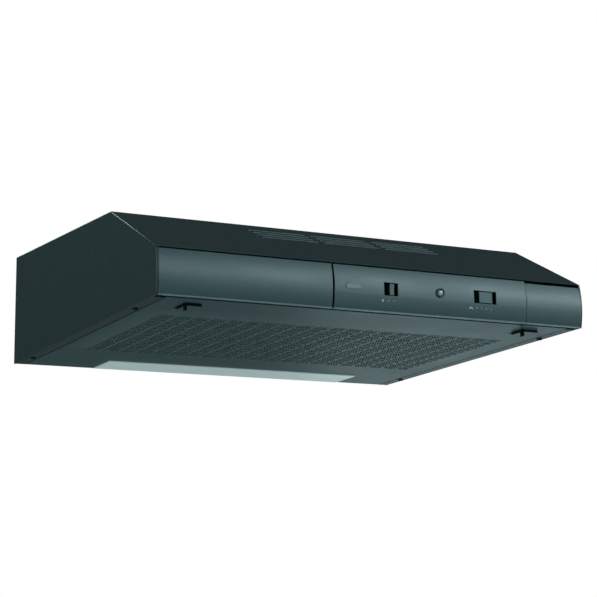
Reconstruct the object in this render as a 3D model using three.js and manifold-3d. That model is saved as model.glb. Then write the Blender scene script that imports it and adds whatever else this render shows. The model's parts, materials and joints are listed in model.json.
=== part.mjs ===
// An under cabinet range hood, 598 mm wide, with a drop-down grille, a twin-inlet blower and slide controls.
// Millimetres. +X is to the right seen from the front, +Y points to the wall and +Z is up.
// The origin is the centre of the top face, which is screwed up against the underside of a cabinet.
import * as THREE from "three";
import { mergeVertices } from "three/addons/utils/BufferGeometryUtils.js";
import Module from "manifold-3d";

const wasm = await Module();
wasm.setup();

// ---------------------------------------------------------------- driving dimensions
const WIDTH = 598;
const TOP_DEPTH = 350; // wall to ridge
const BACK_HEIGHT = 149;
const SLOPE_FOOT = [-315.6, -66]; // [y, z] of the sloping front's lower edge
const FACE_TOP = [-316, -68.6]; // [y, z] of the fascia's upper edge
const FACE_FOOT = [-317.8, -123]; // [y, z] of the fascia's lower edge
const FACE_BOW = 3.6; // how far the fascia bows forward of the line between its edges
const FACE_FRONT = (FACE_TOP[0] + FACE_FOOT[0]) / 2 - FACE_BOW; // y of its foremost line
const STEEL = 1;
const PLASTIC = 2;
const FIT = 0.3; // gap left between pieces that touch

const HALF = WIDTH / 2;
const WALL_Y = TOP_DEPTH / 2;
const RIDGE_Y = -TOP_DEPTH / 2;
const FLOOR_Z = -BACK_HEIGHT;
const TILT = Math.atan2(FACE_FOOT[1] - FLOOR_Z, WALL_Y - FACE_FOOT[0]); // the underside rises to the front
const SLOPE_ANGLE = Math.atan2(-SLOPE_FOOT[1], RIDGE_Y - SLOPE_FOOT[0]);

const FLANGE = 16; // side panels' inward flange along the underside
const FLANGE_FRONT_Y = -304;
const SCREW_SPOTS = [-236, 120]; // y of the screws in each flange
const SCREW_X = HALF - 9;

const VENT = {
  groups: 3,
  rows: 4,
  length: 78,
  width: 4,
  middle: 3,
  groupPitch: 88.5,
  rowPitch: 10.5,
  first: 31.5,
};

const SPIGOT = { y: 70, outer: 60, inner: 58, flange: 67, top: 28, hole: 61 };
const FLAP_PIN = { z: 4, radius: 1.5 };
const GLAND = { x: -200, y: 140, bore: 4.5, neck: 7, flange: 10, hole: 7.5 };
const CABINET_HOLES = [[-250, 130], [250, 130], [-250, -130], [250, -130]];

const BLOWER = { y: 30, z: -70, halfWidth: 60, wall: 2, inlet: 38 };
const IMPELLER = { outer: 42, inner: 34, halfLength: 52, blades: 24, hubX: 19 };
const PLENUM = { halfWidth: 66, front: 2, back: 138, bottom: -17.7, top: -3.6, wall: 1.6 };
const THROAT = { front: 53.5, back: 95 }; // y of the scroll's outlet

// The drop-down grille panel.
const PANEL = { halfWidth: 281.5, rear: -4.5, front: -484, sheet: 1, rim: 12 };
const HINGE = { y: -11, z: 6, radius: 2.5 }; // in the panel's own frame
const LENS = { left: -184, right: 206, rear: -7, front: -66 };
const LATCH = { x: 239, halfWidth: 12.5, front: -463, rear: -428.5, travel: 6 };
const FILTER = { halfWidth: 270, front: -420, rear: -110, bottom: 1.6, top: 9.6 };

// x of the joints between the fascia's three pieces.
const PANEL_GAP = { left: -70.3, right: -67.9, joint: 211.3 };
const LIGHT_SLOT = { from: 1, to: 20.5, knob: 12.4, knobWidth: 6 };
const FAN_SLOT = { from: 131.4, to: 164.6, knob: 149.4, knobWidth: 19.5 };
const SLOT_Z = [-102.2, -86.2];
const INDICATOR = { x: 81.2, z: -93.4, hole: 5.2 };

const vector = (x, y, z) => new THREE.Vector3(x, y, z);

// ---------------------------------------------------------------- shape helpers
const ALONG = {
  x: new THREE.Matrix4().makeBasis(vector(0, 1, 0), vector(0, 0, 1), vector(1, 0, 0)),
  y: new THREE.Matrix4().makeBasis(vector(0, 0, 1), vector(1, 0, 0), vector(0, 1, 0)),
  z: new THREE.Matrix4(),
};

const shapeOf = (points) => new THREE.Shape(points.map(([u, v]) => new THREE.Vector2(u, v)));

// An outline extruded along an axis. Its points are [y, z] for x, [z, x] for y and [x, y] for z.
function prism(axis, points, from, to) {
  const low = Math.min(from, to);
  const settings = { depth: Math.abs(to - from), bevelEnabled: false };
  const geometry = new THREE.ExtrudeGeometry(shapeOf(points), settings);
  return geometry.translate(0, 0, low).applyMatrix4(ALONG[axis]);
}

function box([x0, x1], [y0, y1], [z0, z1]) {
  const geometry = new THREE.BoxGeometry(Math.abs(x1 - x0), Math.abs(y1 - y0), Math.abs(z1 - z0));
  return geometry.translate((x0 + x1) / 2, (y0 + y1) / 2, (z0 + z1) / 2);
}

// A round bar along an axis, with its centre at the two other coordinates in the order that prism uses.
function rod(axis, radius, [u, v], from, to, sides = 24) {
  const circle = Array.from({ length: sides }, (_, i) => {
    const angle = (2 * Math.PI * (i + 0.5)) / sides;
    return [u + radius * Math.cos(angle), v + radius * Math.sin(angle)];
  });
  return prism(axis, circle, from, to);
}

function toSolid(geometry) {
  const bare = geometry.clone();
  bare.deleteAttribute("normal");
  bare.deleteAttribute("uv");
  const merged = mergeVertices(bare, 1e-4);
  const mesh = new wasm.Mesh({
    numProp: 3,
    vertProperties: merged.attributes.position.array,
    triVerts: new Uint32Array(merged.index.array),
  });
  return new wasm.Manifold(mesh);
}

function toGeometry(solid) {
  const mesh = solid.getMesh();
  const indexed = new THREE.BufferGeometry()
    .setAttribute("position", new THREE.BufferAttribute(mesh.vertProperties, 3))
    .setIndex(new THREE.BufferAttribute(mesh.triVerts, 1));
  const flat = indexed.toNonIndexed();
  flat.computeVertexNormals();
  return flat;
}

const join = (...pieces) => toGeometry(pieces.map(toSolid).reduce((whole, piece) => whole.add(piece)));
const cut = (piece, ...tools) => {
  const solids = tools.map(toSolid);
  return toGeometry(solids.reduce((rest, tool) => rest.subtract(tool), toSolid(piece)));
};

// Points on a circular arc between two points, bowed to the right of the way from one to the other.
function bow([u0, v0], [u1, v1], rise, steps) {
  const chord = Math.hypot(u1 - u0, v1 - v0);
  const radius = (chord * chord / 4 + rise * rise) / (2 * rise);
  const half = Math.asin(chord / 2 / radius);
  const along = [(u1 - u0) / chord, (v1 - v0) / chord];
  const out = [along[1], -along[0]];
  return Array.from({ length: steps + 1 }, (_, i) => {
    const angle = -half + (2 * half * i) / steps;
    const s = radius * Math.sin(angle) + chord / 2;
    const t = radius * Math.cos(angle) - radius + rise;
    return [u0 + along[0] * s + out[0] * t, v0 + along[1] * s + out[1] * t];
  });
}

// The outline of a folded sheet: a run of points, with its thickness on the left of the run.
function foldedSheet(run, thickness) {
  const normals = run.slice(1).map(([u, v], i) => {
    const [du, dv] = [u - run[i][0], v - run[i][1]];
    const length = Math.hypot(du, dv);
    return [-dv / length, du / length];
  });
  const inner = run.map(([u, v], i) => {
    const a = normals[Math.max(0, i - 1)];
    const b = normals[Math.min(normals.length - 1, i)];
    const scale = thickness / (1 + a[0] * b[0] + a[1] * b[1]);
    return [u + (a[0] + b[0]) * scale, v + (a[1] + b[1]) * scale];
  });
  return [...run, ...inner.reverse()];
}

// A tube of eight sides along a smooth path.
function cable(points, radius, steps) {
  const path = new THREE.CatmullRomCurve3(points.map((p) => new THREE.Vector3(...p)), false, "centripetal");
  const section = shapeOf(Array.from({ length: 8 }, (_, i) => {
    const angle = (Math.PI * i) / 4;
    return [radius * Math.cos(angle), radius * Math.sin(angle)];
  }));
  return new THREE.ExtrudeGeometry(section, { extrudePath: path, steps, bevelEnabled: false });
}

// A turned shape from [radius, height] points, about X at the given y and z.
function turnedAboutX(profile, [y, z], sides = 24) {
  const geometry = new THREE.LatheGeometry(profile.map(([r, h]) => new THREE.Vector2(r, h)), sides);
  return geometry.rotateZ(-Math.PI / 2).translate(0, y, z);
}

const floorZ = (y) => FLOOR_Z + (WALL_Y - y) * Math.tan(TILT);

// ---------------------------------------------------------------- finishes
const finish = (color, roughness, metalness) => new THREE.MeshStandardMaterial({ color, roughness, metalness });
const BLACK_PAINT = finish(0x2a3334, 0.35, 0.1);
const GALVANISED = finish(0xa7abac, 0.45, 0.8);
const BLACK_PLASTIC = finish(0x111516, 0.4, 0);
const FASCIA_PLASTIC = finish(0x4a595a, 0.35, 0.1);
const GREY_PLASTIC = finish(0x6f7576, 0.6, 0);
const DIFFUSER = finish(0xdfe8e6, 0.35, 0);
const GLASS = finish(0xf3f4ef, 0.1, 0);
const ALUMINIUM = finish(0xb4b8b8, 0.4, 0.9);
const BRIGHT_STEEL = finish(0x8d9294, 0.3, 0.9);
const WIRE = finish(0x3a3a3a, 0.6, 0);
const FLEECE = finish(0xd9dad4, 0.95, 0);

const hood = new THREE.Group();
const underside = new THREE.Group(); // its XY plane is the hood's tilted underside, with Y = 0 at the wall
underside.position.set(0, WALL_Y, FLOOR_Z);
underside.rotation.x = -TILT;
hood.add(underside);

function add(group, name, geometry, material) {
  const mesh = new THREE.Mesh(geometry, material);
  mesh.name = name;
  group.add(mesh);
  return mesh;
}

// ---------------------------------------------------------------- casing
function sidePanel(side) {
  const front = bow(SLOPE_FOOT, FACE_FOOT, FACE_BOW, 10).map(([y, z]) => [y, z]);
  const outline = [[WALL_Y, FLOOR_Z], [WALL_Y, 0], [RIDGE_Y, 0], ...front];
  const inner = side * (HALF - STEEL);
  const plate = prism("x", outline, inner, side * HALF);
  const rearEnd = WALL_Y - STEEL - FIT;
  const lowFlange = prism("x", [
    [rearEnd, floorZ(rearEnd)],
    [FLANGE_FRONT_Y, floorZ(FLANGE_FRONT_Y)],
    [FLANGE_FRONT_Y, floorZ(FLANGE_FRONT_Y) + STEEL],
    [rearEnd, floorZ(rearEnd) + STEEL],
  ], side * (HALF - FLANGE), side * HALF);
  const topFlange = box([side * (HALF - 15), side * HALF], [RIDGE_Y + 3, WALL_Y - 4], [-2.3, -1.3]);
  const rearEdge = [WALL_Y - 2.3, WALL_Y - 1.3];
  const rearFlange = box([side * (HALF - 12), side * HALF], rearEdge, [FLOOR_Z + 0.5, -1.3]);
  const body = join(plate, lowFlange, topFlange, rearFlange);
  const holes = SCREW_SPOTS.map((y) => rod("z", 2, [side * SCREW_X, y], FLOOR_Z - 5, -60, 12));
  return cut(body, ...holes);
}

const SHEET_HALF = HALF - STEEL - FIT; // half length of the sheets that fit between the side panels

function topPlate() {
  const sheet = box([-SHEET_HALF, SHEET_HALF], [RIDGE_Y, WALL_Y - STEEL - FIT], [-STEEL, 0]);
  const outlet = rod("z", SPIGOT.hole, [0, SPIGOT.y], -5, 5, 48);
  const inlet = rod("z", GLAND.hole, [GLAND.x, GLAND.y], -5, 5, 24);
  const fixings = CABINET_HOLES.map((centre) => rod("z", 3, centre, -5, 5, 16));
  return cut(sheet, outlet, inlet, ...fixings);
}

// The sloping front, with groups of long air slots just below the ridge and a short return at its foot.
function frontSlope() {
  const start = [RIDGE_Y - 0.8 * Math.cos(SLOPE_ANGLE), -0.8 * Math.sin(SLOPE_ANGLE)];
  const run = [start, SLOPE_FOOT, [-305, -66.8]];
  const sheet = prism("x", foldedSheet(run, STEEL), -SHEET_HALF, SHEET_HALF);
  const slots = [];
  for (let group = 0; group < VENT.groups; group++) {
    for (let row = 0; row < VENT.rows; row++) {
      const down = VENT.first + row * VENT.rowPitch;
      const x = VENT.middle + (group - (VENT.groups - 1) / 2) * VENT.groupPitch;
      const slot = new THREE.BoxGeometry(VENT.length, VENT.width, 8).rotateX(SLOPE_ANGLE);
      slots.push(slot.translate(x, RIDGE_Y - down * Math.cos(SLOPE_ANGLE), -down * Math.sin(SLOPE_ANGLE)));
    }
  }
  return cut(sheet, ...slots);
}

function backPlate() {
  const plate = box([-SHEET_HALF, SHEET_HALF], [WALL_Y - STEEL, WALL_Y], [FLOOR_Z + 0.4, -0.1]);
  const lip = box([-280, 280], [WALL_Y - 14, WALL_Y], [-2.3, -1.3]);
  const keyholes = [-190, 190].flatMap((x) => [
    rod("y", 5, [-36, x], WALL_Y - 3, WALL_Y + 3, 20),
    box([x - 2.2, x + 2.2], [WALL_Y - 3, WALL_Y + 3], [-36, -24]),
  ]);
  return cut(join(plate, lip), ...keyholes);
}

function frontRail() {
  const run = [[-283, -74], [-294, -74], [-294, -112], [-283, -112]];
  return prism("x", foldedSheet(run, STEEL), -SHEET_HALF, SHEET_HALF);
}

// A bowed front moulding with a return along its top and foot, and ribs that reach back to the rail.
function fasciaMoulding(from, to, ribs, drop = 0) {
  const top = [FACE_TOP[0], FACE_TOP[1] - drop];
  const face = bow(top, FACE_FOOT, FACE_BOW, 10);
  const run = [[-306, top[1]], ...face, [-311, FACE_FOOT[1] + 0.4]];
  const shell = prism("x", foldedSheet(run, PLASTIC), from, to);
  const supports = ribs.map((x) => box([x, x + 3], [-318, -294 - FIT], [-108, -80]));
  return join(shell, ...supports);
}

function controlPanel() {
  const body = fasciaMoulding(PANEL_GAP.right, PANEL_GAP.joint - FIT, [-60, 50, 200]);
  const slots = [LIGHT_SLOT, FAN_SLOT].map((s) => box([s.from, s.to], [-330, -312], SLOT_Z));
  const lampHole = rod("y", INDICATOR.hole, [INDICATOR.z, INDICATOR.x], -330, -312, 24);
  return cut(body, ...slots, lampHole);
}

function flangeScrew(side, y) {
  const z = floorZ(y);
  const head = rod("z", 3.6, [side * SCREW_X, y], z - 1.7, z - 0.4, 16);
  const shank = rod("z", 1.6, [side * SCREW_X, y], z - 0.5, z + 8, 12);
  const slot = box([side * SCREW_X - 3, side * SCREW_X + 3], [y - 0.5, y + 0.5], [z - 3, z - 1]);
  return cut(join(head, shank), slot);
}

function hingeBracket(side) {
  const [from, to] = [side * 285, side * 287];
  const plate = box([from, to], [154, 171], [-146.6, -134]);
  const foot = box([from, side * 296], [154, 171], [-146.6, -145.6]);
  return cut(join(plate, foot), rod("x", HINGE.radius + FIT, hingeAxis(), -HALF, HALF));
}

// [y, z] of the grille's hinge axis in the hood's own frame.
function hingeAxis() {
  const point = new THREE.Vector3(0, HINGE.y, HINGE.z).applyEuler(underside.rotation).add(underside.position);
  return [point.y, point.z];
}

function buildCasing() {
  add(hood, "top_plate", topPlate(), BLACK_PAINT);
  add(hood, "front_slope", frontSlope(), BLACK_PAINT);
  add(hood, "left_side_panel", sidePanel(-1), BLACK_PAINT);
  add(hood, "right_side_panel", sidePanel(1), BLACK_PAINT);
  add(hood, "back_plate", backPlate(), GALVANISED);
  add(hood, "front_rail", frontRail(), BLACK_PAINT);
  add(hood, "fascia_left", fasciaMoulding(-296.5, PANEL_GAP.left, [-286, -180, -84]), FASCIA_PLASTIC);
  add(hood, "control_panel", controlPanel(), FASCIA_PLASTIC);
  add(hood, "fascia_right", fasciaMoulding(PANEL_GAP.joint, 296.5, [222, 286], 2.5), FASCIA_PLASTIC);
  for (const [side, word] of [[-1, "left"], [1, "right"]]) {
    add(hood, `hinge_bracket_${word}`, hingeBracket(side), GALVANISED);
    add(hood, `flange_screw_front_${word}`, flangeScrew(side, SCREW_SPOTS[0]), BRIGHT_STEEL);
    add(hood, `flange_screw_rear_${word}`, flangeScrew(side, SCREW_SPOTS[1]), BRIGHT_STEEL);
  }
}

// ---------------------------------------------------------------- air outlet
function outletSpigot() {
  const centre = [0, SPIGOT.y];
  const collar = rod("z", SPIGOT.outer, centre, -3.3, SPIGOT.top, 48);
  const flange = rod("z", SPIGOT.flange, centre, -3.3, -1.3, 48);
  const bore = rod("z", SPIGOT.inner, centre, -10, 40, 48);
  const pinHoles = rod("x", FLAP_PIN.radius + FIT, [SPIGOT.y, FLAP_PIN.z], -80, 80, 16);
  return cut(join(collar, flange), bore, pinHoles);
}

// A half disc on a knuckle that turns on the pin. It covers the half of the bore on its own side of the pin.
function nonReturnFlap(side) {
  const radius = SPIGOT.inner - 1.2;
  const edge = 3.7;
  const { z } = FLAP_PIN;
  const disc = rod("z", radius, [0, 0], z - 0.6, z + 0.6, 40);
  const half = cut(disc, box([-70, 70], side > 0 ? [-70, edge] : [-edge, 70], [-10, 20]));
  const [from, to] = side > 0 ? [3, 46] : [-46, -3];
  const knuckle = rod("x", 3.2, [0, z], from, to, 16);
  const web = box([from, to], [side * 1, side * (edge + 1)], [z - 0.6, z + 0.6]);
  const bored = cut(join(half, knuckle, web), rod("x", FLAP_PIN.radius + FIT, [0, z], -70, 70, 16));
  return bored.translate(0, SPIGOT.y, 0);
}

function plenumBox() {
  const { halfWidth, front, back, bottom, top, wall } = PLENUM;
  const outer = box([-halfWidth, halfWidth], [front, back], [bottom, top]);
  const half = halfWidth - wall;
  const hollow = box([-half, half], [front + wall, back - wall], [bottom + wall, top + 1]);
  const throat = box([-58, 58], [THROAT.front, THROAT.back], [bottom - 1, bottom + 3]);
  const window = box([-55, 55], [front - 1, front + wall + 1], [-15.5, -9.2]);
  const shaftHole = rod("x", 1.5 + FIT, [6.5, -6.6], 60, 70, 12);
  return cut(outer, hollow, throat, window, shaftHole);
}

// A flap that closes the plenum's front window, on a shaft with a hand lever outside the box.
function changeoverFlap() {
  const shaft = rod("x", 1.5, [6.5, -6.6], -60, 73, 12);
  const flap = box([-59, 59], [6, 7], [-15.6, -6.6]);
  const lever = box([69, 72], [4.5, 8.5], [-38, -5]);
  const grip = rod("x", 4, [6.5, -38], 68, 78, 16);
  return join(shaft, flap, lever, grip);
}

function buildOutlet() {
  add(hood, "outlet_spigot", outletSpigot(), BLACK_PLASTIC);
  add(hood, "flap_pin", rod("x", FLAP_PIN.radius, [SPIGOT.y, FLAP_PIN.z], -59.5, 59.5, 16), BRIGHT_STEEL);
  add(hood, "non_return_flap_front", nonReturnFlap(-1), BLACK_PLASTIC);
  add(hood, "non_return_flap_rear", nonReturnFlap(1), BLACK_PLASTIC);
  add(hood, "plenum_box", plenumBox(), GREY_PLASTIC);
  add(hood, "changeover_flap", changeoverFlap(), BLACK_PLASTIC);
}

// ---------------------------------------------------------------- blower
// The scroll widens round the impeller from its tongue to the throat, which opens upwards.
function scrollOutline(wall, top) {
  const start = Math.PI / 3;
  const steps = 30;
  const spiral = Array.from({ length: steps + 1 }, (_, i) => {
    const share = i / steps;
    const angle = start + share * (2 * Math.PI - start);
    const radius = 47 + 18 * share + wall;
    return [BLOWER.y + radius * Math.cos(angle), BLOWER.z + radius * Math.sin(angle)];
  });
  return [...spiral, [THROAT.back + wall, top], [THROAT.front - wall, top]];
}

function scrollHalf(side) {
  const outerX = side * BLOWER.halfWidth;
  const outer = prism("x", scrollOutline(BLOWER.wall, PLENUM.bottom - FIT), side * FIT / 2, outerX);
  const hollow = prism("x", scrollOutline(0, 0), -side, side * (BLOWER.halfWidth - BLOWER.wall));
  const inlet = rod("x", BLOWER.inlet, [BLOWER.y, BLOWER.z], side * 30, side * 70, 36);
  return cut(outer, hollow, inlet);
}

function impeller() {
  const { outer, inner, halfLength, blades, hubX } = IMPELLER;
  const disc = (from, to, r) => rod("x", r, [0, 0], from, to, 36);
  const rings = [-1, 1].map((side) => cut(
    disc(side * (halfLength - 2), side * halfLength, outer),
    disc(side * (halfLength - 5), side * (halfLength + 5), inner),
  ));
  const hub = join(disc(hubX - 1, hubX + 1, outer), disc(hubX - 4, hubX + 10, 9));
  const cage = Array.from({ length: blades }, (_, i) => {
    const blade = box([-halfLength + 1, halfLength - 1], [inner + 0.5, outer - 0.5], [-0.7, 0.7]);
    blade.translate(0, -38, 0).rotateX(0.6).translate(0, 38, 0);
    return blade.rotateX((2 * Math.PI * i) / blades);
  });
  const whole = cut(join(...rings, hub, ...cage), rod("x", 4 + FIT, [0, 0], -60, 60, 16));
  return whole.translate(0, BLOWER.y, BLOWER.z);
}

function motor() {
  const outside = [[20, -42], [26, -37], [28, -37], [28, 3], [26, 3], [20, 8]];
  const profile = [[4.6, -42], ...outside, [4.6, 8], [4.6, -42]];
  return turnedAboutX(profile, [BLOWER.y, BLOWER.z], 32);
}

function motorBracket() {
  const centre = [BLOWER.y, BLOWER.z];
  const post = rod("x", 12, centre, -64, -42 - FIT, 24);
  const arms = [0, 1, 2].map((i) => {
    const arm = box([-62.3, -60.3], [0, 45], [-5, 5]).rotateX((2 * Math.PI * i) / 3 + 0.4);
    return arm.translate(0, BLOWER.y, BLOWER.z);
  });
  return join(post, ...arms);
}

function buildBlower() {
  const centre = [BLOWER.y, BLOWER.z];
  add(hood, "scroll_left", scrollHalf(-1), GREY_PLASTIC);
  add(hood, "scroll_right", scrollHalf(1), GREY_PLASTIC);
  add(hood, "impeller", impeller(), BLACK_PLASTIC);
  add(hood, "motor_shaft", rod("x", 4, centre, -41, 34, 16), BRIGHT_STEEL);
  add(hood, "motor", motor(), ALUMINIUM);
  add(hood, "motor_bracket", motorBracket(), GALVANISED);
}

// ---------------------------------------------------------------- electrics
const TERMINAL = { x: [-236, -164], y: [66, 122], z: [-36, -1.6], wall: 2 };

function terminalBox() {
  const { x, y, z, wall } = TERMINAL;
  const hollow = box([x[0] + wall, x[1] - wall], [y[0] + wall, y[1] - wall], [z[0] - 1, z[1] - wall]);
  const entries = [-210, -200, -190].map((px) => rod("y", 3.6, [-18, px], 60, 70, 12));
  return cut(box(x, y, z), hollow, entries[1], rod("x", 3.6, [94, -18], -170, -160, 12));
}

function cableGland() {
  const centre = [GLAND.x, GLAND.y];
  const body = join(
    rod("z", GLAND.flange, centre, FIT, 2.3, 24),
    rod("z", GLAND.neck, centre, -9, 1, 24),
    rod("z", 8.6, centre, -9, -1.3, 24),
  );
  return cut(body, rod("z", GLAND.bore, centre, -20, 20, 24));
}

function buildElectrics() {
  const { x, y, z } = TERMINAL;
  add(hood, "terminal_box", terminalBox(), GREY_PLASTIC);
  add(hood, "terminal_lid", box(x, y, [z[0] - 2.3, z[0] - FIT]), GREY_PLASTIC);
  add(hood, "terminal_block", box([-222, -178], [86, 104], [-20, -4]), DIFFUSER);
  add(hood, "cable_gland", cableGland(), BLACK_PLASTIC);
  add(hood, "capacitor", rod("x", 14, [100, -17], 84, 134, 24), DIFFUSER);
  add(hood, "wiring_front", cable([
    [-200, 65.5, -18], [-200, 30, -16], [-180, -60, -10], [-120, -150, -14], [-60, -230, -46],
    [-20, -270, -68], [40, -277, -84], [75, -280, -88], [80, -290, -90],
  ], 3, 40), WIRE);
  add(hood, "wiring_motor", cable([
    [-163.5, 94, -18], [-140, 92, -22], [-110, 70, -44], [-84, 40, -62], [-72, 31, -69], [-66, 30, -70],
  ], 2.5, 24), WIRE);
}

// ---------------------------------------------------------------- lighting
const LAMP = { y: 141, z: -116, roof: -100, skirt: -130 };

function lampHousing() {
  const run = [[113, LAMP.skirt], [117, LAMP.roof], [165, LAMP.roof], [169, LAMP.skirt]];
  const trough = prism("x", foldedSheet(run.reverse(), 0.8), -188, 210);
  const solidRun = [[113, LAMP.skirt], [117, LAMP.roof], [165, LAMP.roof], [169, LAMP.skirt]];
  const ends = [[-188, -187.2], [209.2, 210]].map(([from, to]) => prism("x", solidRun, from, to));
  const tab = box([-60, 60], [164, WALL_Y - STEEL - FIT], [LAMP.roof - 0.8, LAMP.roof]);
  return join(trough, ...ends, tab);
}

// A tubular lamp along X: a glass envelope with a rounded tip, and a narrow cap at its foot.
function tubularLamp(foot, side) {
  const profile = [[0, 0], [6.8, 0], [6.8, 16], [9, 20], [11, 26], [11, 72], [9.6, 78], [6, 82], [0, 83.5]];
  const lamp = turnedAboutX(profile, [0, 0], 20);
  if (side < 0) lamp.rotateZ(Math.PI);
  return lamp.translate(foot, LAMP.y, LAMP.z);
}

function lampHolder(foot, side) {
  const centre = [LAMP.y, LAMP.z];
  const socket = rod("x", 11.5, centre, foot + side * -8, foot + side * 14, 20);
  const stem = rod("x", 8, centre, foot - side * 30, foot - side * 7, 16);
  const well = rod("x", 7.4, centre, foot - side * 1, foot + side * 20, 20);
  return cut(join(socket, stem), well);
}

function buildLighting() {
  add(hood, "lamp_housing", lampHousing(), ALUMINIUM);
  add(hood, "lamp_holder_left", lampHolder(-156, 1), DIFFUSER);
  add(hood, "lamp_holder_right", lampHolder(178, -1), DIFFUSER);
  add(hood, "lamp_left", tubularLamp(-156, 1), GLASS);
  add(hood, "lamp_right", tubularLamp(178, -1), GLASS);
}

// ---------------------------------------------------------------- controls
function slideSwitch({ from, to }) {
  return box([from - 4, to + 4], [-309, -294 - FIT], [SLOT_Z[0] - 3, SLOT_Z[1] + 3]);
}

// A slide knob that stands just behind the fascia's face, with a low lip along its foot to push on.
function slideKnob({ knob, knobWidth }) {
  const half = knobWidth / 2;
  const sides = [knob - half, knob + half];
  const button = box(sides, [FACE_FRONT + 0.9, -309 - FIT], [SLOT_Z[0] + 0.8, SLOT_Z[1] - 0.8]);
  const lip = box(sides, [FACE_FRONT + 0.2, FACE_FRONT + 1.5], [SLOT_Z[0] + 0.8, SLOT_Z[0] + 2.2]);
  return join(button, lip);
}

function indicatorBezel() {
  const centre = [INDICATOR.z, INDICATOR.x];
  const ring = join(
    rod("y", 6, centre, FACE_FRONT - 1.25, FACE_FRONT - 0.15),
    rod("y", 4.9, centre, FACE_FRONT - 1, -314),
  );
  return cut(ring, rod("y", 3.7, centre, -330, -300));
}

function buildControls() {
  const centre = [INDICATOR.z, INDICATOR.x];
  add(hood, "light_switch", slideSwitch(LIGHT_SLOT), BLACK_PLASTIC);
  add(hood, "fan_switch", slideSwitch(FAN_SLOT), BLACK_PLASTIC);
  add(hood, "light_knob", slideKnob(LIGHT_SLOT), FASCIA_PLASTIC);
  add(hood, "fan_knob", slideKnob(FAN_SLOT), FASCIA_PLASTIC);
  add(hood, "indicator_bezel", indicatorBezel(), BLACK_PLASTIC);
  add(hood, "indicator_lens", join(
    rod("y", 3.3, centre, FACE_FRONT - 1.35, -306),
    rod("y", 2.3, centre, FACE_FRONT - 2.1, FACE_FRONT - 1),
  ), DIFFUSER);
}

// ---------------------------------------------------------------- drop-down grille, in the underside's own frame
function grillePanel() {
  const { halfWidth, rear, front, sheet, rim } = PANEL;
  const whole = box([-halfWidth, halfWidth], [front, rear], [0, rim]);
  const half = halfWidth - sheet;
  const inside = box([-half, half], [front + sheet, rear - sheet], [sheet, rim + 1]);
  const lens = box([LENS.left, LENS.right], [LENS.front, LENS.rear], [-5, 5]);
  const windows = [-1, 1].flatMap((side) => {
    const x = side * LATCH.x;
    return [
      box([x - LATCH.halfWidth, x + LATCH.halfWidth], [LATCH.front, LATCH.rear], [-5, 5]),
      box([x - 7, x + 7], [front - 2, front + 3], [1.9, 5]),
    ];
  });
  const pins = rod("x", HINGE.radius + 0.1, [HINGE.y, HINGE.z], -HALF, HALF, 24);
  const slots = [];
  const [columns, rows] = [20, 5];
  for (let row = 0; row < rows; row++) {
    for (let column = 0; column < columns; column++) {
      const x = (column - (columns - 1) / 2) * 24.5;
      const y = -172 - row * 50;
      const lean = 14;
      slots.push(prism("z", [
        [x - 3 - lean / 2, y + 20],
        [x + 3 - lean / 2, y + 20],
        [x + 3 + lean / 2, y - 20],
        [x - 3 + lean / 2, y - 20],
      ], -5, 5));
    }
  }
  return cut(whole, inside, lens, ...windows, pins, ...slots);
}

// The lens face fills the window and stands a little proud below it; its flange lies on top of the panel.
function lampLens() {
  const face = box([LENS.left + 0.5, LENS.right - 0.5], [LENS.front + 0.5, LENS.rear - 0.5], [-1.5, 3]);
  const flangeEdges = [LENS.front - 4, LENS.rear - 0.5];
  const flange = box([LENS.left - 4, LENS.right + 4], flangeEdges, [PANEL.sheet + FIT, 3]);
  const hollow = box([LENS.left + 2.5, LENS.right - 2.5], [LENS.front + 2.5, LENS.rear - 2.5], [0.5, 6]);
  return cut(join(face, flange), hollow);
}

function greaseFilter() {
  const { halfWidth, front, rear, bottom, top } = FILTER;
  return box([-halfWidth, halfWidth], [front, rear], [bottom, top]);
}

function filterStrap(x) {
  const [front, rear, foot, crown] = [FILTER.front - 1.6, FILTER.rear + 1.6, 1.6, 10.9];
  const run = [[rear, foot], [rear, crown], [front, crown], [front, foot]];
  return prism("x", foldedSheet(run, 0.8), x - 4, x + 4);
}

// A sliding latch: a block in the panel's window with a finger fin below, a keeper plate above and a tongue in front.
function latch(x) {
  const { halfWidth, front, rear, travel } = LATCH;
  const back = rear - travel - 1;
  const block = box([x - halfWidth + 0.5, x + halfWidth - 0.5], [front + 0.5, back], [-3, 3.5]);
  const keeper = box([x - halfWidth - 4, x + halfWidth + 4], [front - 4, back], [PANEL.sheet + FIT, 3.5]);
  const tongue = box([x - 6, x + 6], [PANEL.front - 0.9, front], [2.2, 4.5]);
  const fin = box([x - halfWidth + 0.5, x - halfWidth + 2.5], [front + 0.5, front + 8], [-10, -2]);
  return join(block, keeper, tongue, fin);
}

function buildGrille() {
  add(underside, "grille_panel", grillePanel(), BLACK_PAINT);
  add(underside, "lamp_lens", lampLens(), DIFFUSER);
  add(underside, "grease_filter", greaseFilter(), FLEECE);
  for (const [side, word] of [[-1, "left"], [1, "right"]]) {
    const pin = rod("x", HINGE.radius, [HINGE.y, HINGE.z], side * 277, side * 290, 24);
    add(underside, `hinge_pin_${word}`, pin, BRIGHT_STEEL);
    add(underside, `filter_strap_${word}`, filterStrap(side * 150), BRIGHT_STEEL);
    add(underside, `latch_${word}`, latch(side * LATCH.x), BLACK_PLASTIC);
  }
}

buildCasing();
buildOutlet();
buildBlower();
buildElectrics();
buildLighting();
buildControls();
buildGrille();

export default hood;
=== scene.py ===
"""The looks of an under cabinet range hood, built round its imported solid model."""

import json
import math
from collections import Counter

import bpy
from mathutils import Matrix, Vector


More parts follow.
